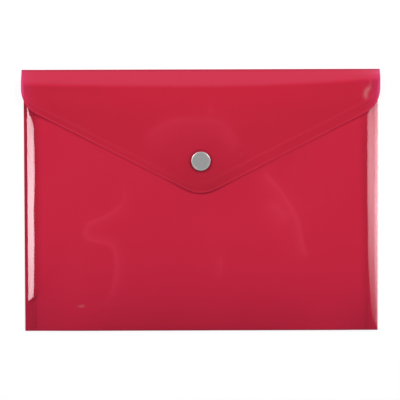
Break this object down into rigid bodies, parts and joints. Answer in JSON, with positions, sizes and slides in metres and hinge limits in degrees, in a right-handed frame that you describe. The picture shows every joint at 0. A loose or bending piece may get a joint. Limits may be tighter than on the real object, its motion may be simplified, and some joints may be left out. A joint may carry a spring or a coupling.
{
  "type": "document wallet",
  "caption": "Flat document wallet of translucent film with welded sides, an open-topped pocket and a creased pointed flap that a metal press stud holds shut.",
  "frame": {"origin": "centre of the closed wallet's box, on the table under its back", "axes": "+X across the wallet, +Y up the wallet from the bottom fold to the flap's crease, +Z out of the front, with the wallet lying on its back"},
  "size_m": [0.2526, 0.185, 0.0097],
  "materials": {
    "film": "translucent red polypropylene film, smooth and glossy",
    "nickel": "nickel-plated pressed metal, satin",
    "spring_wire": "drawn spring wire"
  },
  "bodies": {
    "pocket": {"back_panel": "film", "front_panel": "film", "bottom_fold": "film", "left_seam": "film", "right_seam": "film", "top_crease": "film", "snap_stud": "nickel", "stud_eyelet": "nickel"},
    "flap_root": {"flap_root": "film", "flap_bend": "film"},
    "flap": {"flap_panel": "film", "snap_cap": "nickel", "cap_post": "nickel", "snap_socket": "nickel", "snap_springs": "spring_wire"}
  },
  "joints": [
    {"name": "flap_hinge", "type": "hinge", "parent": "pocket", "child": "flap_root", "pos_m": [0, 0.0921, 0.0004], "axis": [-1, 0, 0], "range_deg": [0, 142.82]},
    {"name": "flap_bend", "type": "hinge", "parent": "flap_root", "child": "flap", "pos_m": [0, 0.0819, 0.00845], "axis": [-1, 0, 0], "range_deg": [0, 35.92]}
  ],
  "couplings": [
    {"joint": "flap_bend", "follows": "flap_hinge", "ratio": 0.2514}
  ]
}
